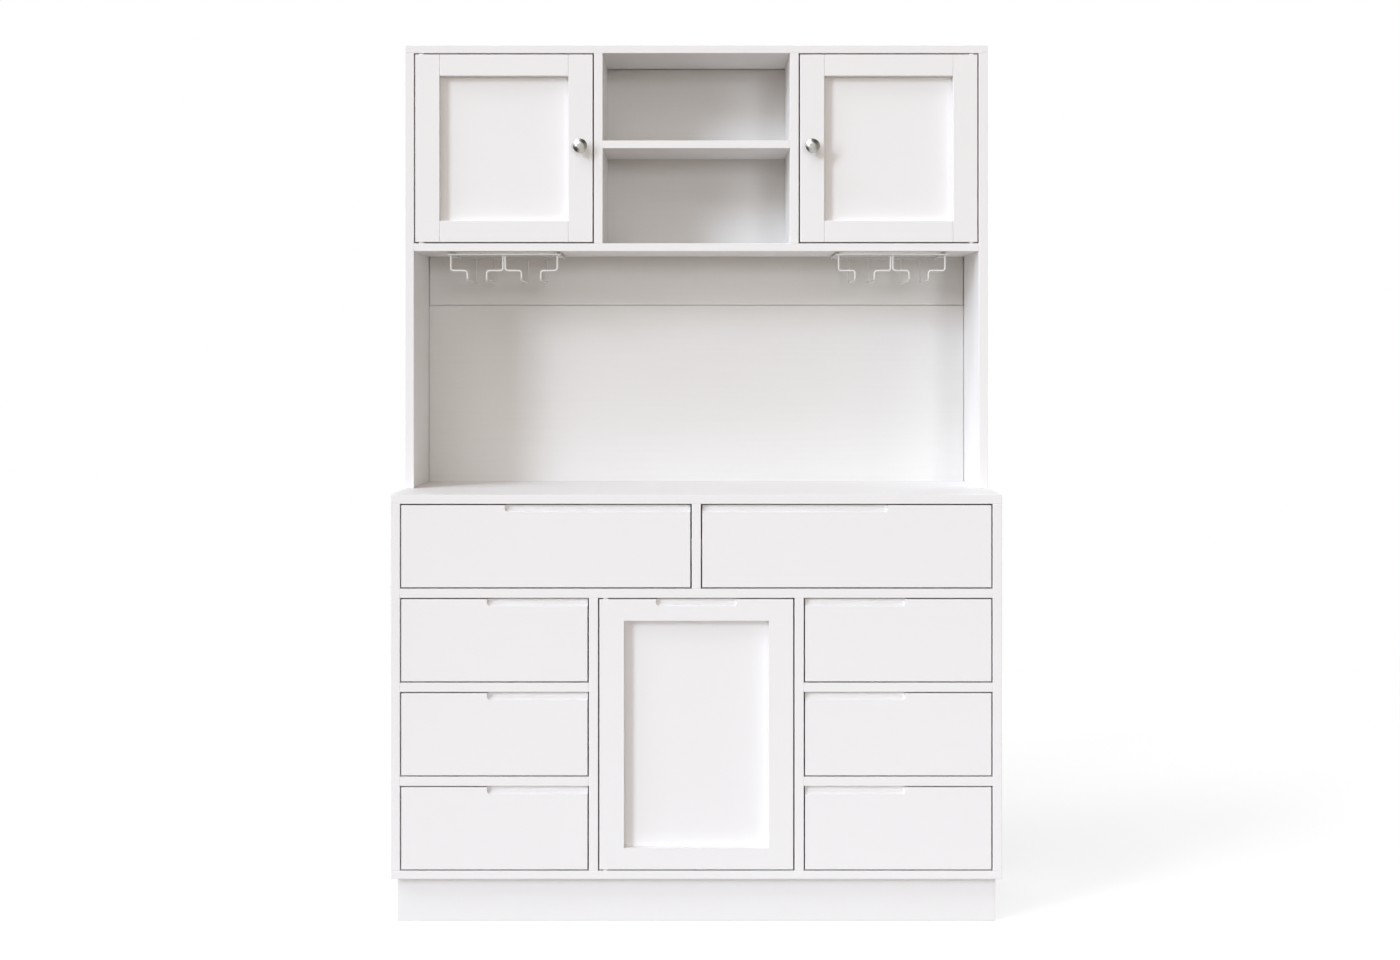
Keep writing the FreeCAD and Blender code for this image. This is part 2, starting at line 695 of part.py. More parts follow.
# A magnet catch with two screw ears under the board above the door, and the plate on the door that it holds
def add_catch(centre_x, back_face_y, door_top_z):
    x0 = centre_x - catch_width / 2
    x1 = centre_x + catch_width / 2
    ceiling_z = door_top_z + front_gap
    plate_y = back_face_y + strike_thickness
    plate_z = door_top_z - strike_inset
    catch_y = plate_y + seat_gap
    ear_y = catch_y + (catch_depth - catch_ear_depth) / 2
    catch = plain_board(x0, x1, catch_y, catch_y + catch_depth, ceiling_z - catch_height, ceiling_z)
    ears = plain_board(x0 - catch_ear_reach, x1 + catch_ear_reach, ear_y, ear_y + catch_ear_depth,
                       ceiling_z - catch_ear_height, ceiling_z)
    door_catches.append(catch.fuse(ears).removeSplitter())
    return plain_board(x0, x1, back_face_y, plate_y, plate_z - strike_height, plate_z)


def knob(centre_x, face_y, centre_z):
    slope = math.radians(knob_dome_slope)
    half_round = (math.pi / 2 - slope) / 2
    round_radius = knob_radius - knob_round
    dome_edge = round_radius + knob_round * math.sin(slope)
    dome_out = knob_projection - dome_edge * math.tan(slope / 2)
    dome_radius = dome_edge / math.sin(slope)
    dome_middle = knob_projection - dome_radius + math.sqrt(dome_radius ** 2 - (dome_edge / 2) ** 2)
    rim_out = dome_out - knob_round * math.cos(slope)
    rim_in = rim_out - knob_rim
    neck_in = knob_base_height + knob_base_slope

    def at(radius, out):
        return FreeCAD.Vector(centre_x + radius, face_y - out, centre_z)

    base = [at(0, 0), at(knob_base_radius, 0), at(knob_base_radius, knob_base_height),
            at(knob_neck_radius, neck_in), at(knob_neck_radius, rim_in - knob_flare),
            at(knob_radius, rim_in), at(knob_radius, rim_out)]
    outline = [Part.LineSegment(a, b).toShape() for a, b in zip(base, base[1:])]
    round_middle = at(round_radius + knob_round * math.cos(half_round),
                      rim_out + knob_round * math.sin(half_round))
    outline.append(Part.Arc(base[-1], round_middle, at(dome_edge, dome_out)).toShape())
    outline.append(Part.Arc(at(dome_edge, dome_out), at(dome_edge / 2, dome_middle),
                            at(0, knob_projection)).toShape())
    outline.append(Part.LineSegment(at(0, knob_projection), base[0]).toShape())
    body = Part.Face(Part.Wire(outline)).revolve(base[0], y_axis, 360)
    thread = rod(knob_screw_radius + fit_play, base[0], -y_axis, knob_screw_in_knob + dowel_end_gap)
    seat = FreeCAD.Vector(centre_x, face_y + door_thickness, centre_z)
    fixing = screw(seat, -y_axis, door_thickness + knob_screw_in_knob, knob_screw_radius,
                   knob_screw_head_radius, knob_screw_head_height)
    hole = rod(knob_screw_radius + knob_screw_hole_play, seat, -y_axis, door_thickness)
    return [body.cut(thread), fixing], hole


def add_upper_door(side):
    key = "upper_" + side_word(side) + "_door"
    outer_x = side * (side_face - front_gap)
    inner_x = side * (divider_face + front_gap)
    x0 = min(outer_x, inner_x)
    x1 = max(outer_x, inner_x)
    z0 = hutch_floor_z + front_gap
    z1 = hutch_top_z - front_gap
    outline = (x0, x1, z0, z1, hutch_front_y, upper_stile_width, upper_rail_height)
    stiles, rails = tenoned_frame(*outline)
    pivot_x = outer_x - side * pivot_from_edge
    bushes, bores = add_pivots(pivot_x, hutch_front_y, z0, z1, "hutch_bottom", "hutch_top")
    knob_z = (z0 + z1) / 2 + knob_above_middle
    knob_pieces, knob_hole = knob(inner_x + side * upper_stile_width / 2, hutch_front_y, knob_z)
    strike = add_catch(inner_x + side * catch_from_edge, hutch_front_y + door_thickness, z1)
    drilled = [stile.cut(bores + [knob_hole]) for stile in stiles]
    nodes[key + "_frame"] = drilled + rails
    nodes[key + "_panel"] = [panel_field(*outline, panel_lap - panel_play)]
    nodes[key + "_knob"] = knob_pieces
    nodes[key + "_fittings"] = bushes + [strike]


def add_cupboard_door():
    x0 = -centre_face + front_gap
    x1 = centre_face - front_gap
    z0 = base_floor_z + front_gap
    z1 = deck_z - front_gap
    outline = (x0, x1, z0, z1, front_y, lower_stile_width, lower_rail_height)
    stiles, rails = filled_frame(*outline)
    bushes, bores = add_pivots(x0 + pivot_from_edge, front_y, z0, z1, "base_bottom", "base_deck")
    groove_ends = [-door_groove_length / 2, door_groove_length / 2]
    groove = finger_groove(*groove_ends, front_y, z1, groove_ends)
    strike = add_catch(x1 - catch_from_edge, front_y + door_thickness, z1)
    drilled = [stile.cut(bores) for stile in stiles]
    nodes["cupboard_door_frame"] = drilled + [rail.cut(groove) for rail in rails]
    nodes["cupboard_door_panel"] = [panel_field(*outline, panel_lap - panel_play)]
    nodes["cupboard_door_fittings"] = bushes + [strike]


def finished_board(name):
    return boards[name].cut(cuts[name]) if cuts[name] else boards[name]


def finished_pair(name):
    return [finished_board(side_name(name, side)) for side in (left, right)]


def add_carcass_nodes():
    for name in ("worktop", "base_bottom", "base_deck", "base_back_panel", "hutch_top", "hutch_bottom",
                 "open_shelf", "hutch_back_upper", "hutch_back_lower"):
        nodes[name] = [finished_board(name)]
    nodes["hutch_back_lower"].append(finished_board("seam_strip"))
    nodes["base_sides"] = finished_pair("base_side")
    nodes["base_dividers"] = finished_pair("base_divider") + [finished_board("top_divider")]
    nodes["front_rails"] = []
    for row in range(1, narrow_rows):
        nodes["front_rails"] += finished_pair("front_rail_" + str(row))
    nodes["hutch_sides"] = finished_pair("hutch_side")
    nodes["hutch_dividers"] = finished_pair("hutch_divider")


add_base_boards()
add_hutch_boards()
add_back_panels()
cut_back_grooves()
add_base_dowels()
add_hutch_dowels()
add_drawers()
add_upper_door(left)
add_upper_door(right)
add_cupboard_door()
shelf, shelf_pins = cupboard_shelf()
nodes["plinth"] = plinth_boards()
nodes["cupboard_shelf"] = [shelf]
nodes["shelf_pins"] = shelf_pins
nodes["glass_rack_left"] = glass_rack(left)
nodes["glass_rack_right"] = glass_rack(right)
nodes["wall_brackets"] = [wall_bracket(left), wall_bracket(right)]
nodes["runner_rails"] = runner_rails
nodes["pivot_pins"] = pivot_pins
nodes["door_catches"] = door_catches
nodes["screws"] = screws
nodes["dowels"] = dowels
add_carcass_nodes()

os.makedirs("parts", exist_ok=True)
for node, pieces in nodes.items():
    solids = [solid for piece in pieces for solid in piece.Solids]
    shape = solids[0] if len(solids) == 1 else Part.makeCompound(solids)
    shape.exportStep("parts/" + node + ".step")
    state = "valid" if shape.isValid() else "INVALID"
    print(node, len(solids), "solids", round(shape.Volume / 1000), "cm3", state)
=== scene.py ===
import json
import math
import bmesh
import bpy
from mathutils import Matrix, Vector


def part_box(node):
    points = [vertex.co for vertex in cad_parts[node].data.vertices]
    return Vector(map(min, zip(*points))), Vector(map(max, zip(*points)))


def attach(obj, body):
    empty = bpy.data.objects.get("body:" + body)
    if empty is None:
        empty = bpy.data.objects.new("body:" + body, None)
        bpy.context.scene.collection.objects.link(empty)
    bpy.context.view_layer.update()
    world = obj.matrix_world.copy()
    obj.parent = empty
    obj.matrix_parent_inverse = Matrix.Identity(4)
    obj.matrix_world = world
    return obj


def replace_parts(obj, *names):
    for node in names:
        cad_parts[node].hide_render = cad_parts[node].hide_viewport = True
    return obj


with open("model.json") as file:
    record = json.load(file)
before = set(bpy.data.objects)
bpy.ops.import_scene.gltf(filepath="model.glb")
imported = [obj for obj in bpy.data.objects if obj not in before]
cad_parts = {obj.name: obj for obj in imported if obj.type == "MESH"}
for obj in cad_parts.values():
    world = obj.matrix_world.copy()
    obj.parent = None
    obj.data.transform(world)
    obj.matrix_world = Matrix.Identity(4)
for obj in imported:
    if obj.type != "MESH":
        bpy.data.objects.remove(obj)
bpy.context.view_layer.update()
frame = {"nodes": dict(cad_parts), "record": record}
mm = 0.001
noiseSpan = (0.3, 0.7)  # most values of a Noise Texture lie in here
waveUnit = 0.314  # length of one wave of a Wave Texture at scale 1
print("frame loaded:", len(frame["nodes"]), "nodes")


# sRGB hex to the linear colour that the shaders take
def paint(hexColour):
    channels = [int(hexColour[i:i + 2], 16) / 255 for i in (1, 3, 5)]
    linear = [c / 12.92 if c <= 0.04045 else ((c + 0.055) / 1.055) ** 2.4 for c in channels]
    return (*linear, 1.0)


# Adds a node, with its settings, and its sockets given a value, a link or a list of links. Sockets that share
# a name go by number.
def addNode(tree, kind, settings=None, sockets=None):
    node = tree.nodes.new(kind)
    for name, value in (settings or {}).items():
        setattr(node, name, value)
    for name, value in (sockets or {}).items():
        for source in value if isinstance(value, list) else [value]:
            if isinstance(source, bpy.types.NodeSocket):
                tree.links.new(source, node.inputs[name])
            else:
                node.inputs[name].default_value = source
    return node


def newMaterial(name):
    material = bpy.data.materials.new(name)
    material.use_nodes = True
    material.node_tree.nodes.clear()
    return material, material.node_tree


satinLacquer = {
    "light": "#ECEAE9", "shade": "#EAE8E7",
    "driftSize": 240 * mm, "peelSize": 2.4 * mm, "peelDepth": 0.006 * mm,
    "waveSize": 45 * mm, "waveDepth": 0.05 * mm, "glossiest": 0.44, "dullest": 0.52,
    "specular": 0.35, "ior": 1.5,
}


# White polyurethane lacquer, sprayed on fibreboard and left satin. It gives an even white with a soft
# reflection that a fine orange peel breaks up, and a film that is a touch thinner here and there.
def makeSatinLacquer(look):
    material, tree = newMaterial("satinLacquerSprayed")
    place = addNode(tree, "ShaderNodeTexCoord").outputs["Object"]
    drift = addNode(tree, "ShaderNodeTexNoise", None, {
        "Vector": place, "Scale": 1 / look["driftSize"], "Detail": 3.0, "Roughness": 0.55})
    film = addNode(tree, "ShaderNodeMix", {"data_type": "RGBA"}, {
        0: drift.outputs["Fac"], 6: paint(look["shade"]), 7: paint(look["light"])})
    gloss = addNode(tree, "ShaderNodeMapRange", None, {
        "Value": drift.outputs["Fac"], "From Min": noiseSpan[0], "From Max": noiseSpan[1],
        "To Min": look["glossiest"], "To Max": look["dullest"]})
    peel = addNode(tree, "ShaderNodeTexNoise", None, {
        "Vector": place, "Scale": 1 / look["peelSize"], "Detail": 1.0, "Roughness": 0.4})
    wave = addNode(tree, "ShaderNodeTexNoise", None, {
        "Vector": place, "Scale": 1 / look["waveSize"], "Detail": 0.0})
    waveBump = addNode(tree, "ShaderNodeBump", None, {
        "Height": wave.outputs["Fac"], "Distance": look["waveDepth"], "Strength": 1.0})
    peelBump = addNode(tree, "ShaderNodeBump", None, {
        "Height": peel.outputs["Fac"], "Distance": look["peelDepth"], "Strength": 1.0,
        "Normal": waveBump.outputs["Normal"]})
    shader = addNode(tree, "ShaderNodeBsdfPrincipled", None, {
        "Base Color": film.outputs[2], "Roughness": gloss.outputs["Result"], "IOR": look["ior"],
        "Specular IOR Level": look["specular"], "Normal": peelBump.outputs["Normal"]})
    addNode(tree, "ShaderNodeOutputMaterial", None, {"Surface": shader.outputs["BSDF"]})
    return material


pearlMelamine = {
    "light": "#E5E4E1", "shade": "#E2E1DE", "driftSize": 160 * mm,
    "pearlSize": 0.9 * mm, "pearlDepth": 0.02 * mm, "roughness": 0.48, "ior": 1.52,
}


# Melamine foil on chipboard, pressed against a pearl-textured plate. The tiny pimples spread the light,
# so it is a flatter white than the lacquer.
def makePearlMelamine(look):
    material, tree = newMaterial("pearlMelaminePressed")
    place = addNode(tree, "ShaderNodeTexCoord").outputs["Object"]
    drift = addNode(tree, "ShaderNodeTexNoise", None, {
        "Vector": place, "Scale": 1 / look["driftSize"], "Detail": 2.0})
    foil = addNode(tree, "ShaderNodeMix", {"data_type": "RGBA"}, {
        0: drift.outputs["Fac"], 6: paint(look["shade"]), 7: paint(look["light"])})
    pearl = addNode(tree, "ShaderNodeTexVoronoi", {"feature": "SMOOTH_F1"}, {
        "Vector": place, "Scale": 1 / look["pearlSize"], "Smoothness": 0.8})
    pearlBump = addNode(tree, "ShaderNodeBump", None, {
        "Height": pearl.outputs["Distance"], "Distance": look["pearlDepth"], "Strength": 1.0})
    shader = addNode(tree, "ShaderNodeBsdfPrincipled", None, {
        "Base Color": foil.outputs[2], "Roughness": look["roughness"], "IOR": look["ior"],
        "Normal": pearlBump.outputs["Normal"]})
    addNode(tree, "ShaderNodeOutputMaterial", None, {"Surface": shader.outputs["BSDF"]})
    return material


rolledHardboard = {
    "light": "#E0DEDB", "shade": "#DCDAD7", "rearLight": "#DEDCD6", "rearShade": "#D2CFC8",
    "streakWidth": 6 * mm, "streakLength": 260 * mm, "streakDepth": 0.01 * mm,
    "screenPitch": 1.6 * mm, "screenDepth": 0.12 * mm, "roughness": 0.5, "rearRoughness": 0.75,
    "specular": 0.35, "ior": 1.5, "rearFacing": 0.5,
}


# Hardboard with white lacquer rolled on. The roller leaves faint streaks along the board. The rear has only
# a thin sealing coat, through which the mesh of the press screen shows.
def makeRolledHardboard(look):
    material, tree = newMaterial("hardboardRolledWhite")
    place = addNode(tree, "ShaderNodeTexCoord")
    stretch = addNode(tree, "ShaderNodeMapping", None, {
        "Vector": place.outputs["Object"],
        "Scale": (1 / look["streakLength"], 1 / look["streakWidth"], 1 / look["streakWidth"])})
    streak = addNode(tree, "ShaderNodeTexNoise", None, {
        "Vector": stretch.outputs["Vector"], "Scale": 1.0, "Detail": 2.0})
    front = addNode(tree, "ShaderNodeMix", {"data_type": "RGBA"}, {
        0: streak.outputs["Fac"], 6: paint(look["shade"]), 7: paint(look["light"])})
    rear = addNode(tree, "ShaderNodeMix", {"data_type": "RGBA"}, {
        0: streak.outputs["Fac"], 6: paint(look["rearShade"]), 7: paint(look["rearLight"])})
    facing = addNode(tree, "ShaderNodeSeparateXYZ", None, {"Vector": place.outputs["Normal"]})
    atRear = addNode(tree, "ShaderNodeMath", {"operation": "GREATER_THAN"}, {
        0: facing.outputs["Y"], 1: look["rearFacing"]})
    colour = addNode(tree, "ShaderNodeMix", {"data_type": "RGBA"}, {
        0: atRear.outputs["Value"], 6: front.outputs[2], 7: rear.outputs[2]})
    dull = addNode(tree, "ShaderNodeMapRange", None, {
        "Value": atRear.outputs["Value"], "To Min": look["roughness"], "To Max": look["rearRoughness"]})
    across = addNode(tree, "ShaderNodeTexWave", {"bands_direction": "X"}, {
        "Vector": place.outputs["Object"], "Scale": waveUnit / look["screenPitch"]})
    along = addNode(tree, "ShaderNodeTexWave", {"bands_direction": "Z"}, {
        "Vector": place.outputs["Object"], "Scale": waveUnit / look["screenPitch"]})
    mesh = addNode(tree, "ShaderNodeMath", {"operation": "MAXIMUM"}, {
        0: across.outputs["Fac"], 1: along.outputs["Fac"]})
    screen = addNode(tree, "ShaderNodeMath", {"operation": "MULTIPLY"}, {
        0: mesh.outputs["Value"], 1: atRear.outputs["Value"]})
    streakBump = addNode(tree, "ShaderNodeBump", None, {
        "Height": streak.outputs["Fac"], "Distance": look["streakDepth"], "Strength": 1.0})
    screenBump = addNode(tree, "ShaderNodeBump", None, {
        "Height": screen.outputs["Value"], "Distance": look["screenDepth"], "Strength": 1.0,
        "Normal": streakBump.outputs["Normal"]})
    shader = addNode(tree, "ShaderNodeBsdfPrincipled", None, {
        "Base Color": colour.outputs[2], "Roughness": dull.outputs["Result"], "IOR": look["ior"],
        "Specular IOR Level": look["specular"], "Normal": screenBump.outputs["Normal"]})
    addNode(tree, "ShaderNodeOutputMaterial", None, {"Surface": shader.outputs["BSDF"]})
    return material


turnedNickel = {
    "light": "#C8C5BF", "shade": "#AFACA6", "roughness": 0.28, "anisotropy": 0.7,
    "lineSpacing": 0.35 * mm, "lineDepth": 0.004 * mm,
}


# Nickel-plated brass, turned and brushed on a lathe. The fine rings round the axis pull each reflection out
# into a wedge from the middle to the rim.
def makeTurnedNickel(look, knobNode):
    low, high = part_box(knobNode)
    middle = (low + high) / 2
    material, tree = newMaterial("nickelTurnedSatin_" + knobNode)
    place = addNode(tree, "ShaderNodeTexCoord").outputs["Object"]
    centred = addNode(tree, "ShaderNodeMapping", None, {
        "Vector": place, "Location": (-middle.x, 0, -middle.z), "Scale": (1, 0, 1)})
    radius = addNode(tree, "ShaderNodeVectorMath", {"operation": "LENGTH"}, {0: centred.outputs["Vector"]})
    ring = addNode(tree, "ShaderNodeMath", {"operation": "DIVIDE"}, {
        0: radius.outputs["Value"], 1: look["lineSpacing"]})
    lines = addNode(tree, "ShaderNodeTexNoise", {"noise_dimensions": "1D"}, {
        "W": ring.outputs["Value"], "Scale": 1.0, "Detail": 2.0})
    colour = addNode(tree, "ShaderNodeMix", {"data_type": "RGBA"}, {
        0: lines.outputs["Fac"], 6: paint(look["shade"]), 7: paint(look["light"])})
    lineBump = addNode(tree, "ShaderNodeBump", None, {
        "Height": lines.outputs["Fac"], "Distance": look["lineDepth"], "Strength": 1.0})
    around = addNode(tree, "ShaderNodeTangent", {"direction_type": "RADIAL", "axis": "Y"})
    shader = addNode(tree, "ShaderNodeBsdfPrincipled", None, {
        "Base Color": colour.outputs[2], "Metallic": 1.0, "Roughness": look["roughness"],
        "Anisotropic": look["anisotropy"], "Normal": lineBump.outputs["Normal"],
        "Tangent": around.outputs["Tangent"]})
    addNode(tree, "ShaderNodeOutputMaterial", None, {"Surface": shader.outputs["BSDF"]})
    return material


zincSteel = {
    "light": "#CDD0D2", "shade": "#B4B7B8", "cloudSize": 9 * mm, "glossiest": 0.28, "dullest": 0.46,
    "grainSize": 0.5 * mm, "grainDepth": 0.004 * mm,
}


# Cold-rolled steel, zinc plated and passivated. Grey-blue, with clouds where the plating took unevenly.
def makeZincSteel(look):
    material, tree = newMaterial("steelZincPlated")
    place = addNode(tree, "ShaderNodeTexCoord").outputs["Object"]
    cloud = addNode(tree, "ShaderNodeTexNoise", None, {
        "Vector": place, "Scale": 1 / look["cloudSize"], "Detail": 4.0})
    colour = addNode(tree, "ShaderNodeMix", {"data_type": "RGBA"}, {
        0: cloud.outputs["Fac"], 6: paint(look["shade"]), 7: paint(look["light"])})
    gloss = addNode(tree, "ShaderNodeMapRange", None, {
        "Value": cloud.outputs["Fac"], "From Min": noiseSpan[0], "From Max": noiseSpan[1],
        "To Min": look["glossiest"], "To Max": look["dullest"]})
    grain = addNode(tree, "ShaderNodeTexNoise", None, {
        "Vector": place, "Scale": 1 / look["grainSize"], "Detail": 1.0})
    grainBump = addNode(tree, "ShaderNodeBump", None, {
        "Height": grain.outputs["Fac"], "Distance": look["grainDepth"], "Strength": 1.0})
    shader = addNode(tree, "ShaderNodeBsdfPrincipled", None, {
        "Base Color": colour.outputs[2], "Metallic": 1.0, "Roughness": gloss.outputs["Result"],
        "Normal": grainBump.outputs["Normal"]})
    addNode(tree, "ShaderNodeOutputMaterial", None, {"Surface": shader.outputs["BSDF"]})
    return material


powderCoat = {
    "light": "#DCDAD7", "shade": "#D7D5D1", "grainSize": 0.8 * mm, "grainDepth": 0.015 * mm,
    "glossiest": 0.5, "dullest": 0.6, "specular": 0.2, "ior": 1.5,
}


# Steel wire with a white polyester powder coat, baked on. It flows into a smooth skin with a fine ripple.
def makePowderCoat(look):
    material, tree = newMaterial("powderCoatBakedWhite")
    place = addNode(tree, "ShaderNodeTexCoord").outputs["Object"]
    grain = addNode(tree, "ShaderNodeTexNoise", None, {
        "Vector": place, "Scale": 1 / look["grainSize"], "Detail": 2.0})
    colour = addNode(tree, "ShaderNodeMix", {"data_type": "RGBA"}, {
        0: grain.outputs["Fac"], 6: paint(look["shade"]), 7: paint(look["light"])})
    gloss = addNode(tree, "ShaderNodeMapRange", None, {
        "Value": grain.outputs["Fac"], "To Min": look["glossiest"], "To Max": look["dullest"]})
    grainBump = addNode(tree, "ShaderNodeBump", None, {
        "Height": grain.outputs["Fac"], "Distance": look["grainDepth"], "Strength": 1.0})
    shader = addNode(tree, "ShaderNodeBsdfPrincipled", None, {
        "Base Color": colour.outputs[2], "Roughness": gloss.outputs["Result"], "IOR": look["ior"],
        "Specular IOR Level": look["specular"], "Normal": grainBump.outputs["Normal"]})
    addNode(tree, "ShaderNodeOutputMaterial", None, {"Surface": shader.outputs["BSDF"]})
    return material


mouldedNylon = {
    "light": "#EDECE7", "shade": "#E4E3DD", "sparkSize": 0.35 * mm, "sparkDepth": 0.01 * mm,
    "cloudSize": 14 * mm, "roughness": 0.5, "ior": 1.53,
}


# White nylon, injection moulded in a spark-eroded mould, which leaves a fine matt grain.
def makeMouldedNylon(look):
    material, tree = newMaterial("nylonMouldedWhite")
    place = addNode(tree, "ShaderNodeTexCoord").outputs["Object"]
    cloud = addNode(tree, "ShaderNodeTexNoise", None, {
        "Vector": place, "Scale": 1 / look["cloudSize"], "Detail": 2.0})
    colour = addNode(tree, "ShaderNodeMix", {"data_type": "RGBA"}, {
        0: cloud.outputs["Fac"], 6: paint(look["shade"]), 7: paint(look["light"])})
    spark = addNode(tree, "ShaderNodeTexNoise", None, {
        "Vector": place, "Scale": 1 / look["sparkSize"], "Detail": 2.0})
    sparkBump = addNode(tree, "ShaderNodeBump", None, {
        "Height": spark.outputs["Fac"], "Distance": look["sparkDepth"], "Strength": 1.0})
    shader = addNode(tree, "ShaderNodeBsdfPrincipled", None, {
        "Base Color": colour.outputs[2], "Roughness": look["roughness"], "IOR": look["ior"],
        "Normal": sparkBump.outputs["Normal"]})
    addNode(tree, "ShaderNodeOutputMaterial", None, {"Surface": shader.outputs["BSDF"]})
    return material


plainBeech = {
    "light": "#DDBD93", "shade": "#C59E70", "grainWidth": 1.2 * mm, "grainLength": 30 * mm,
    "grainDepth": 0.03 * mm, "roughness": 0.62, "ior": 1.5,
}


# Beech rod, planed and left raw: pinkish tan with short darker flecks.
def makePlainBeech(look):
    material, tree = newMaterial("beechPlanedRaw")
    place = addNode(tree, "ShaderNodeTexCoord").outputs["Object"]
    stretch = addNode(tree, "ShaderNodeMapping", None, {
        "Vector": place, "Scale": (1 / look["grainWidth"], 1 / look["grainWidth"], 1 / look["grainLength"])})
    fleck = addNode(tree, "ShaderNodeTexNoise", None, {
        "Vector": stretch.outputs["Vector"], "Scale": 1.0, "Detail": 3.0})
    colour = addNode(tree, "ShaderNodeMix", {"data_type": "RGBA"}, {
        0: fleck.outputs["Fac"], 6: paint(look["shade"]), 7: paint(look["light"])})
    fleckBump = addNode(tree, "ShaderNodeBump", None, {
        "Height": fleck.outputs["Fac"], "Distance": look["grainDepth"], "Strength": 1.0})
    shader = addNode(tree, "ShaderNodeBsdfPrincipled", None, {
        "Base Color": colour.outputs[2], "Roughness": look["roughness"], "IOR": look["ior"],
        "Normal": fleckBump.outputs["Normal"]})
    addNode(tree, "ShaderNodeOutputMaterial", None, {"Surface": shader.outputs["BSDF"]})
    return material


finishes = {
    "lacquer_white": makeSatinLacquer(satinLacquer),
    "melamine_white": makePearlMelamine(pearlMelamine),
    "back_board_white": makeRolledHardboard(rolledHardboard),
    "steel_zinc": makeZincSteel(zincSteel),
    "wire_powder_white": makePowderCoat(powderCoat),
    "nylon_white": makeMouldedNylon(mouldedNylon),
    "beech": makePlainBeech(plainBeech),
}
for subpart in frame["record"]["subparts"]:
    node = frame["nodes"][subpart["node"]]
    slotName = subpart["material_slot"]
    finish = finishes.get(slotName) or makeTurnedNickel(turnedNickel, subpart["node"])
    node.data.materials.clear()
    node.data.materials.append(finish)
print("finishes given to the nodes")


weldDistance = 0.01 * mm


# Low and high corner of each separate shape in a CAD node, from a merged copy of its mesh
def shapeBoxes(nodeName):
    bm = bmesh.new()
    bm.from_mesh(frame["nodes"][nodeName].data)
    bmesh.ops.remove_doubles(bm, verts=bm.verts, dist=weldDistance)
    waiting = set(bm.verts)
    boxes = []
    while waiting:
        found = [waiting.pop()]
        for vertex in found:
            for edge in vertex.link_edges:
                other = edge.other_vert(vertex)
                if other in waiting:
                    waiting.remove(other)
                    found.append(other)
        spans = [[vertex.co[i] for vertex in found] for i in range(3)]
        boxes.append((Vector([min(span) for span in spans]), Vector([max(span) for span in spans])))
    bm.free()
    return sorted(boxes, key=lambda box: tuple(box[0]))


def addPiece(name, mesh, finish, body):
    mesh.materials.clear()
    mesh.materials.append(finish)
    piece = bpy.data.objects.new(name, mesh)
    bpy.context.scene.collection.objects.link(piece)
    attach(piece, body)
    return piece


# The cross is cut by two bars, one a little deeper, and a quarter turn brings it back onto itself
crossHead = {"tipShare": 0.3, "barSinks": (2.0, 1.8), "quarterTurn": 1.5708, "seed": 4}


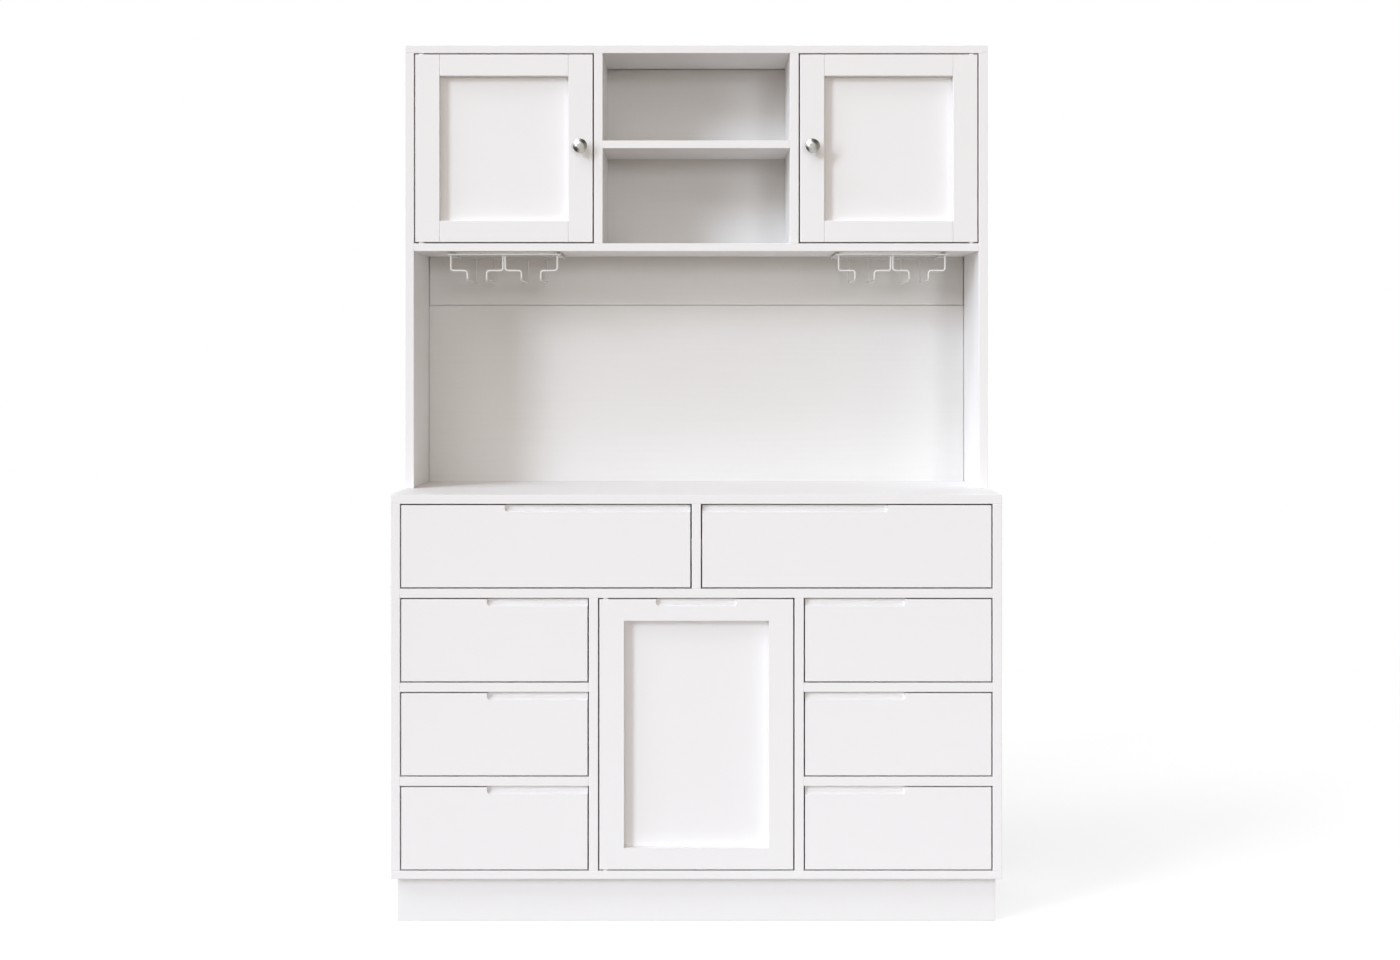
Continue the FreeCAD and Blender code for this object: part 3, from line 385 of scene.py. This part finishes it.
# Pan-head screw: a domed head with a cross recess, and a shank that tapers to its point. The seats are points
# with a "facing" direction, and each screw is turned by a different amount.
def makeScrewTree(look, sizeNames):
    tree = bpy.data.node_groups.new("crossHeadScrews", "GeometryNodeTree")
    tree.interface.new_socket("Seats", in_out="INPUT", socket_type="NodeSocketGeometry")
    for name in sizeNames:
        tree.interface.new_socket(name, in_out="INPUT", socket_type="NodeSocketFloat")
    tree.interface.new_socket("Sides", in_out="INPUT", socket_type="NodeSocketInt")
    tree.interface.new_socket("Finish", in_out="INPUT", socket_type="NodeSocketMaterial")
    tree.interface.new_socket("Screws", in_out="OUTPUT", socket_type="NodeSocketGeometry")
    given = addNode(tree, "NodeGroupInput").outputs
    barrel = addNode(tree, "GeometryNodeMeshCylinder", None, {
        "Vertices": given["Sides"], "Radius": given["Head Radius"], "Depth": given["Head Height"]})
    barrelHeight = addNode(tree, "ShaderNodeMath", {"operation": "MULTIPLY"}, {
        0: given["Head Height"], 1: 0.5})
    ball = addNode(tree, "GeometryNodeMeshUVSphere", None, {
        "Segments": given["Sides"], "Rings": given["Sides"], "Radius": given["Dome Radius"]})
    ballHeight = addNode(tree, "ShaderNodeMath", {"operation": "SUBTRACT"}, {
        0: given["Head Height"], 1: given["Dome Radius"]})
    tip = addNode(tree, "ShaderNodeMath", {"operation": "MULTIPLY"}, {
        0: given["Shank Radius"], 1: look["tipShare"]})
    shank = addNode(tree, "GeometryNodeMeshCone", None, {
        "Vertices": given["Sides"], "Radius Top": given["Shank Radius"],
        "Radius Bottom": tip.outputs["Value"], "Depth": given["Shank Length"]})
    shankHeight = addNode(tree, "ShaderNodeMath", {"operation": "MULTIPLY"}, {
        0: given["Shank Length"], 1: -1.0})
    shapes = [(barrel, barrelHeight.outputs["Value"]), (ball, ballHeight.outputs["Value"]),
              (shank, shankHeight.outputs["Value"])]
    for (along, across), sink in zip(("XY", "YX"), look["barSinks"]):
        depth = addNode(tree, "ShaderNodeMath", {"operation": "MULTIPLY"}, {0: given["Slot Depth"], 1: sink})
        size = addNode(tree, "ShaderNodeCombineXYZ", None, {
            along: given["Slot Length"], across: given["Slot Width"], "Z": depth.outputs["Value"]})
        bar = addNode(tree, "GeometryNodeMeshCube", None, {"Size": size.outputs["Vector"]})
        shapes.append((bar, given["Head Height"]))
    lifted = []
    for shape, height in shapes:
        offset = addNode(tree, "ShaderNodeCombineXYZ", None, {"Z": height})
        moved = addNode(tree, "GeometryNodeTransform", None, {
            "Geometry": shape.outputs["Mesh"], "Translation": offset.outputs["Vector"]})
        lifted.append(moved.outputs["Geometry"])
    dome = addNode(tree, "GeometryNodeMeshBoolean", {"operation": "INTERSECT"}, {"Mesh 2": lifted[:2]})
    head = addNode(tree, "GeometryNodeMeshBoolean", {"operation": "DIFFERENCE"}, {
        "Mesh 1": dome.outputs["Mesh"], "Mesh 2": lifted[3:]})
    screw = addNode(tree, "GeometryNodeJoinGeometry", None, {"Geometry": [head.outputs["Mesh"], lifted[2]]})
    facing = addNode(tree, "GeometryNodeInputNamedAttribute", {"data_type": "FLOAT_VECTOR"}, {
        "Name": "facing"})
    upright = addNode(tree, "FunctionNodeAlignRotationToVector", {"axis": "Z"}, {
        "Vector": facing.outputs["Attribute"]})
    turn = addNode(tree, "FunctionNodeRandomValue", {"data_type": "FLOAT"}, {
        2: 0.0, 3: look["quarterTurn"], "Seed": look["seed"]})
    spin = addNode(tree, "FunctionNodeAxisAngleToRotation", None, {
        "Axis": (0, 0, 1), "Angle": turn.outputs[1]})
    driven = addNode(tree, "FunctionNodeRotateRotation", {"rotation_space": "LOCAL"}, {
        "Rotation": upright.outputs["Rotation"], "Rotate By": spin.outputs["Rotation"]})
    placed = addNode(tree, "GeometryNodeInstanceOnPoints", None, {
        "Points": given["Seats"], "Instance": screw.outputs["Geometry"],
        "Rotation": driven.outputs["Rotation"]})
    solid = addNode(tree, "GeometryNodeRealizeInstances", None, {"Geometry": placed.outputs["Instances"]})
    plated = addNode(tree, "GeometryNodeSetMaterial", None, {
        "Geometry": solid.outputs["Geometry"], "Material": given["Finish"]})
    addNode(tree, "NodeGroupOutput", None, {"Screws": plated.outputs["Geometry"]})
    return tree


boardScrew = {
    "Head Radius": 3.8 * mm, "Head Height": 2.2 * mm, "Dome Radius": 5.2 * mm, "Slot Length": 4.4 * mm,
    "Slot Width": 1.0 * mm, "Slot Depth": 1.3 * mm, "Shank Radius": 2.0 * mm, "Shank Length": 14 * mm,
}
headSides = {"board": 20, "catch": 16, "runner": 12}
screwTree = makeScrewTree(crossHead, boardScrew)


# One mesh of all the screws of a body. A seat is a place and the way that the head faces.
def makeScrews(name, look, sides, seats, finish, body):
    mesh = bpy.data.meshes.new(name + "Seats")
    mesh.from_pydata([place for place, facing in seats], [], [])
    ways = mesh.attributes.new("facing", "FLOAT_VECTOR", "POINT")
    for way, (place, facing) in zip(ways.data, seats):
        way.vector = facing
    carrier = bpy.data.objects.new(name + "Seats", mesh)
    bpy.context.scene.collection.objects.link(carrier)
    modifier = carrier.modifiers.new("screws", "NODES")
    modifier.node_group = screwTree
    values = {**look, "Sides": sides, "Finish": finish}
    for socket in screwTree.interface.items_tree:
        if socket.in_out == "INPUT" and socket.name in values:
            modifier[socket.identifier] = values[socket.name]
    evaluated = carrier.evaluated_get(bpy.context.evaluated_depsgraph_get())
    screws = bpy.data.meshes.new_from_object(evaluated)
    screws.name = name
    carrier.modifiers.clear()
    bpy.data.objects.remove(carrier)
    return addPiece(name, screws, finish, body)


down = Vector((0, 0, -1))
steel = finishes["steel_zinc"]
seats = []
for low, high in shapeBoxes("screws"):
    seats.append((((low.x + high.x) / 2, (low.y + high.y) / 2, low.z + boardScrew["Head Height"]), down))
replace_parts(makeScrews("board_screws", boardScrew, headSides["board"], seats, steel, "cabinet"), "screws")

magnetCatch = {
    "earReach": 3.5 * mm, "earHeight": 3 * mm, "poleWidth": 22 * mm, "poleSteel": 1.6 * mm,
    "poleSpacing": 5 * mm, "poleProud": 0.15 * mm, "poleDepth": 6 * mm, "poleEdge": 0.3 * mm,
    "edgeSteps": 2,
}
catchScrew = {
    "Head Radius": 2.6 * mm, "Head Height": 1.5 * mm, "Dome Radius": 3.6 * mm, "Slot Length": 3.0 * mm,
    "Slot Width": 0.7 * mm, "Slot Depth": 0.9 * mm, "Shank Radius": 1.4 * mm, "Shank Length": 10 * mm,
}


# The two steel pole plates in the mouth of each catch, with their edges broken
def makeCatchPoles(look, catches):
    bm = bmesh.new()
    for low, high in catches:
        for side in (-1, 1):
            centre = Vector(((low.x + high.x) / 2, low.y - look["poleProud"] + look["poleDepth"] / 2,
                             (low.z + high.z) / 2 + side * look["poleSpacing"] / 2))
            size = (look["poleWidth"], look["poleDepth"], look["poleSteel"])
            bmesh.ops.create_cube(bm, size=1.0, matrix=Matrix.LocRotScale(centre, None, size))
    bmesh.ops.bevel(bm, geom=bm.edges[:], offset=look["poleEdge"], segments=look["edgeSteps"],
                    affect="EDGES")
    mesh = bpy.data.meshes.new("catch_poles")
    bm.to_mesh(mesh)
    bm.free()
    return addPiece("catch_poles", mesh, steel, "cabinet")


catches = shapeBoxes("door_catches")
makeCatchPoles(magnetCatch, catches)
seats = []
for low, high in catches:
    for x in (low.x + magnetCatch["earReach"], high.x - magnetCatch["earReach"]):
        seats.append(((x, (low.y + high.y) / 2, high.z - magnetCatch["earHeight"]), down))
makeScrews("catch_screws", catchScrew, headSides["catch"], seats, steel, "cabinet")

drawerRunner = {"play": 0.3 * mm, "steel": 1.2 * mm, "screwAlong": (0.1, 0.45, 0.9)}
runnerScrew = {
    "Head Radius": 3.2 * mm, "Head Height": 1.4 * mm, "Dome Radius": 5.0 * mm, "Slot Length": 3.4 * mm,
    "Slot Width": 0.8 * mm, "Slot Depth": 0.8 * mm, "Shank Radius": 1.6 * mm, "Shank Length": 9 * mm,
}


# Screws through the webs of the runners: those of the rails go into the cabinet, those of the slides into the
# sides of the drawer box
def makeRunnerScrews(look):
    railSeats = []
    for body in frame["record"]["behaviour"]["bodies"]:
        if not body.endswith("_drawer"):
            continue
        slideSeats = []
        for (low, high), inward in zip(shapeBoxes(body + "_slides"), (1, -1)):
            rail = low.x - look["play"] if inward > 0 else high.x + look["play"]
            slide = high.x - look["steel"] if inward > 0 else low.x + look["steel"]
            for along in look["screwAlong"]:
                y = low.y + along * (high.y - low.y)
                z = (low.z + high.z) / 2
                railSeats.append(((rail, y, z), Vector((inward, 0, 0))))
                slideSeats.append(((slide, y, z), Vector((-inward, 0, 0))))
        makeScrews(body + "_slide_screws", runnerScrew, headSides["runner"], slideSeats, steel, body)
    makeScrews("rail_screws", runnerScrew, headSides["runner"], railSeats, steel, "cabinet")


makeRunnerScrews(drawerRunner)
print("screws and catches made")

# The floor and the world are white to the eye and in reflections, and give the object their own soft light
studio = {
    "paper": "#ABA7A2", "glow": "#F6FBFF", "glowStrength": 0.68,
    "ambient": "#FFDBB3", "ambientStrength": 0.26, "reach": 2.6,
}


# 1 where a ray comes straight from the camera, or by way of a shiny or clear surface
def seenBy(tree):
    rays = addNode(tree, "ShaderNodeLightPath").outputs
    shiny = addNode(tree, "ShaderNodeMath", {"operation": "MAXIMUM"}, {
        0: rays["Is Camera Ray"], 1: rays["Is Glossy Ray"]})
    seen = addNode(tree, "ShaderNodeMath", {"operation": "MAXIMUM"}, {
        0: shiny.outputs["Value"], 1: rays["Is Transmission Ray"]})
    return seen.outputs["Value"]


def makeFloor(look):
    bm = bmesh.new()
    bmesh.ops.create_grid(bm, x_segments=1, y_segments=1, size=look["reach"])
    mesh = bpy.data.meshes.new("floor")
    bm.to_mesh(mesh)
    bm.free()
    floor = bpy.data.objects.new("floor", mesh)
    bpy.context.scene.collection.objects.link(floor)
    material, tree = newMaterial("floorPaperWhite")
    glow = addNode(tree, "ShaderNodeMath", {"operation": "MULTIPLY"}, {
        0: seenBy(tree), 1: look["glowStrength"]})
    paper = addNode(tree, "ShaderNodeBsdfDiffuse", None, {"Color": paint(look["paper"])})
    white = addNode(tree, "ShaderNodeEmission", None, {
        "Color": paint(look["glow"]), "Strength": glow.outputs["Value"]})
    both = addNode(tree, "ShaderNodeAddShader", None, {
        0: paper.outputs["BSDF"], 1: white.outputs["Emission"]})
    addNode(tree, "ShaderNodeOutputMaterial", None, {"Surface": both.outputs["Shader"]})
    mesh.materials.append(material)


# Painted reflections: dark and grey glowing sheets that only shiny surfaces see, and that paint the dark
# parts of the reflections in the metal. The camera doesn't see them, and they give no light and cast no
# shadow.
paintedReflections = {
    "paintedReflectionHigh": {"cloth": "#4A433C", "corners": [
        (-0.44, -2.31, 3.80), (1.72, -2.31, 2.68), (2.52, -0.38, 3.14), (-0.52, -0.38, 4.72)]},
    "paintedReflectionRight": {"cloth": "#B0ABA4", "corners": [
        (1.72, -2.31, 2.68), (1.61, -2.31, 0.25), (1.72, -0.30, 0.18), (2.52, -0.38, 3.14)]},
    "paintedReflectionLow": {"cloth": "#4A433C", "corners": [
        (-0.59, -1.28, 0.58), (-1.52, -1.58, 1.66), (-2.22, -0.26, 1.72), (-0.75, -0.21, 0.15)]},
}


# A glowing sheet that only shiny surfaces show: a painted reflection, seen in the metal as a dark or grey
# patch
def makePaintedReflection(name, look):
    mesh = bpy.data.meshes.new(name)
    mesh.from_pydata(look["corners"], [], [tuple(range(len(look["corners"])))])
    material, tree = newMaterial(name + "Cloth")
    cloth = addNode(tree, "ShaderNodeEmission", None, {"Color": paint(look["cloth"])})
    addNode(tree, "ShaderNodeOutputMaterial", None, {"Surface": cloth.outputs["Emission"]})
    mesh.materials.append(material)
    reflectionSheet = bpy.data.objects.new(name, mesh)
    bpy.context.scene.collection.objects.link(reflectionSheet)
    reflectionSheet.visible_camera = False
    reflectionSheet.visible_diffuse = False
    reflectionSheet.visible_transmission = False
    reflectionSheet.visible_shadow = False


def makeWorld(look):
    world = bpy.data.worlds.new("studioWhite")
    world.use_nodes = True
    tree = world.node_tree
    tree.nodes.clear()
    ambient = addNode(tree, "ShaderNodeBackground", None, {
        "Color": paint(look["ambient"]), "Strength": look["ambientStrength"]})
    white = addNode(tree, "ShaderNodeBackground", None, {"Color": (1, 1, 1, 1), "Strength": 1.0})
    both = addNode(tree, "ShaderNodeMixShader", None, {
        0: seenBy(tree), 1: ambient.outputs["Background"], 2: white.outputs["Background"]})
    addNode(tree, "ShaderNodeOutputWorld", None, {"Surface": both.outputs["Shader"]})
    bpy.context.scene.world = world


# Far, wide lights: azimuth from the front of the cabinet towards its left, elevation and spread in degrees,
# strength, colour, and whether a shiny surface shows the light
softLights = {
    "leftLow": (54, 6, 12, 0.61, "#F1F9FF", False),
    "leftMiddle": (47, 22, 13, 1.32, "#E3EEFF", True),
    "leftHigh": (46, 56, 14, 0.4, "#F2F8FF", True),
    "leftSide": (72, 38, 13, 0.57, "#EBF5FF", True),
    "leftTop": (72, 56, 14, 0.34, "#EBF5FF", True),
    "frontHigh": (22, 38, 18, 0.36, "#F0F5FF", True),
    "frontTop": (8, 56, 14, 0.17, "#F0F5FF", False),
    "frontMiddle": (6, 24, 14, 0.18, "#FFFFFF", False),
    "frontRight": (-15, 6, 12, 0.53, "#F2F9FF", False),
    "rightLow": (-45, 6, 12, 0.14, "#FCFFFF", False),
    "rightSide": (-100, 15, 30, 0.95, "#EEF4FF", False),
    "rearRight": (-145, 18, 30, 1.4, "#EEF4FF", False),
    "rearLeft": (150, 18, 30, 0.75, "#EEF4FF", False),
}
lightDistance = 5.0


def makeSoftLight(name, look):
    azimuth, elevation, spread, strength, colour, glint = look
    lamp = bpy.data.lights.new(name, "SUN")
    lamp.angle = math.radians(spread)
    lamp.energy = strength
    lamp.color = paint(colour)[:3]
    turn = math.radians(azimuth)
    rise = math.radians(elevation)
    level = math.cos(rise)
    way = Vector((-math.sin(turn) * level, -math.cos(turn) * level, math.sin(rise)))
    source = way * lightDistance
    light = bpy.data.objects.new(name, lamp)
    light.visible_glossy = glint
    bpy.context.scene.collection.objects.link(light)
    light.matrix_world = Matrix.Translation(source) @ (-source).to_track_quat("-Z", "Y").to_matrix().to_4x4()


makeFloor(studio)
# Painted reflections for the metal
for name, look in paintedReflections.items():
    makePaintedReflection(name, look)
makeWorld(studio)
for name, look in softLights.items():
    makeSoftLight(name, look)

eye = {"at": (0.0, -3.742, 1.113), "sensor": 36.0, "lens": 46.4, "shiftX": 0.0026, "shiftY": -0.0879}


def makeCamera(look):
    data = bpy.data.cameras.new("camera")
    data.sensor_width = look["sensor"]
    data.lens = look["lens"]
    data.shift_x = look["shiftX"]
    data.shift_y = look["shiftY"]
    camera = bpy.data.objects.new("camera", data)
    bpy.context.scene.collection.objects.link(camera)
    camera.matrix_world = Matrix.Translation(look["at"]) @ Matrix.Rotation(math.radians(90), 4, "X")
    bpy.context.scene.camera = camera


makeCamera(eye)
bpy.context.scene.view_settings.view_transform = "Standard"
print("stage, lights and camera set")
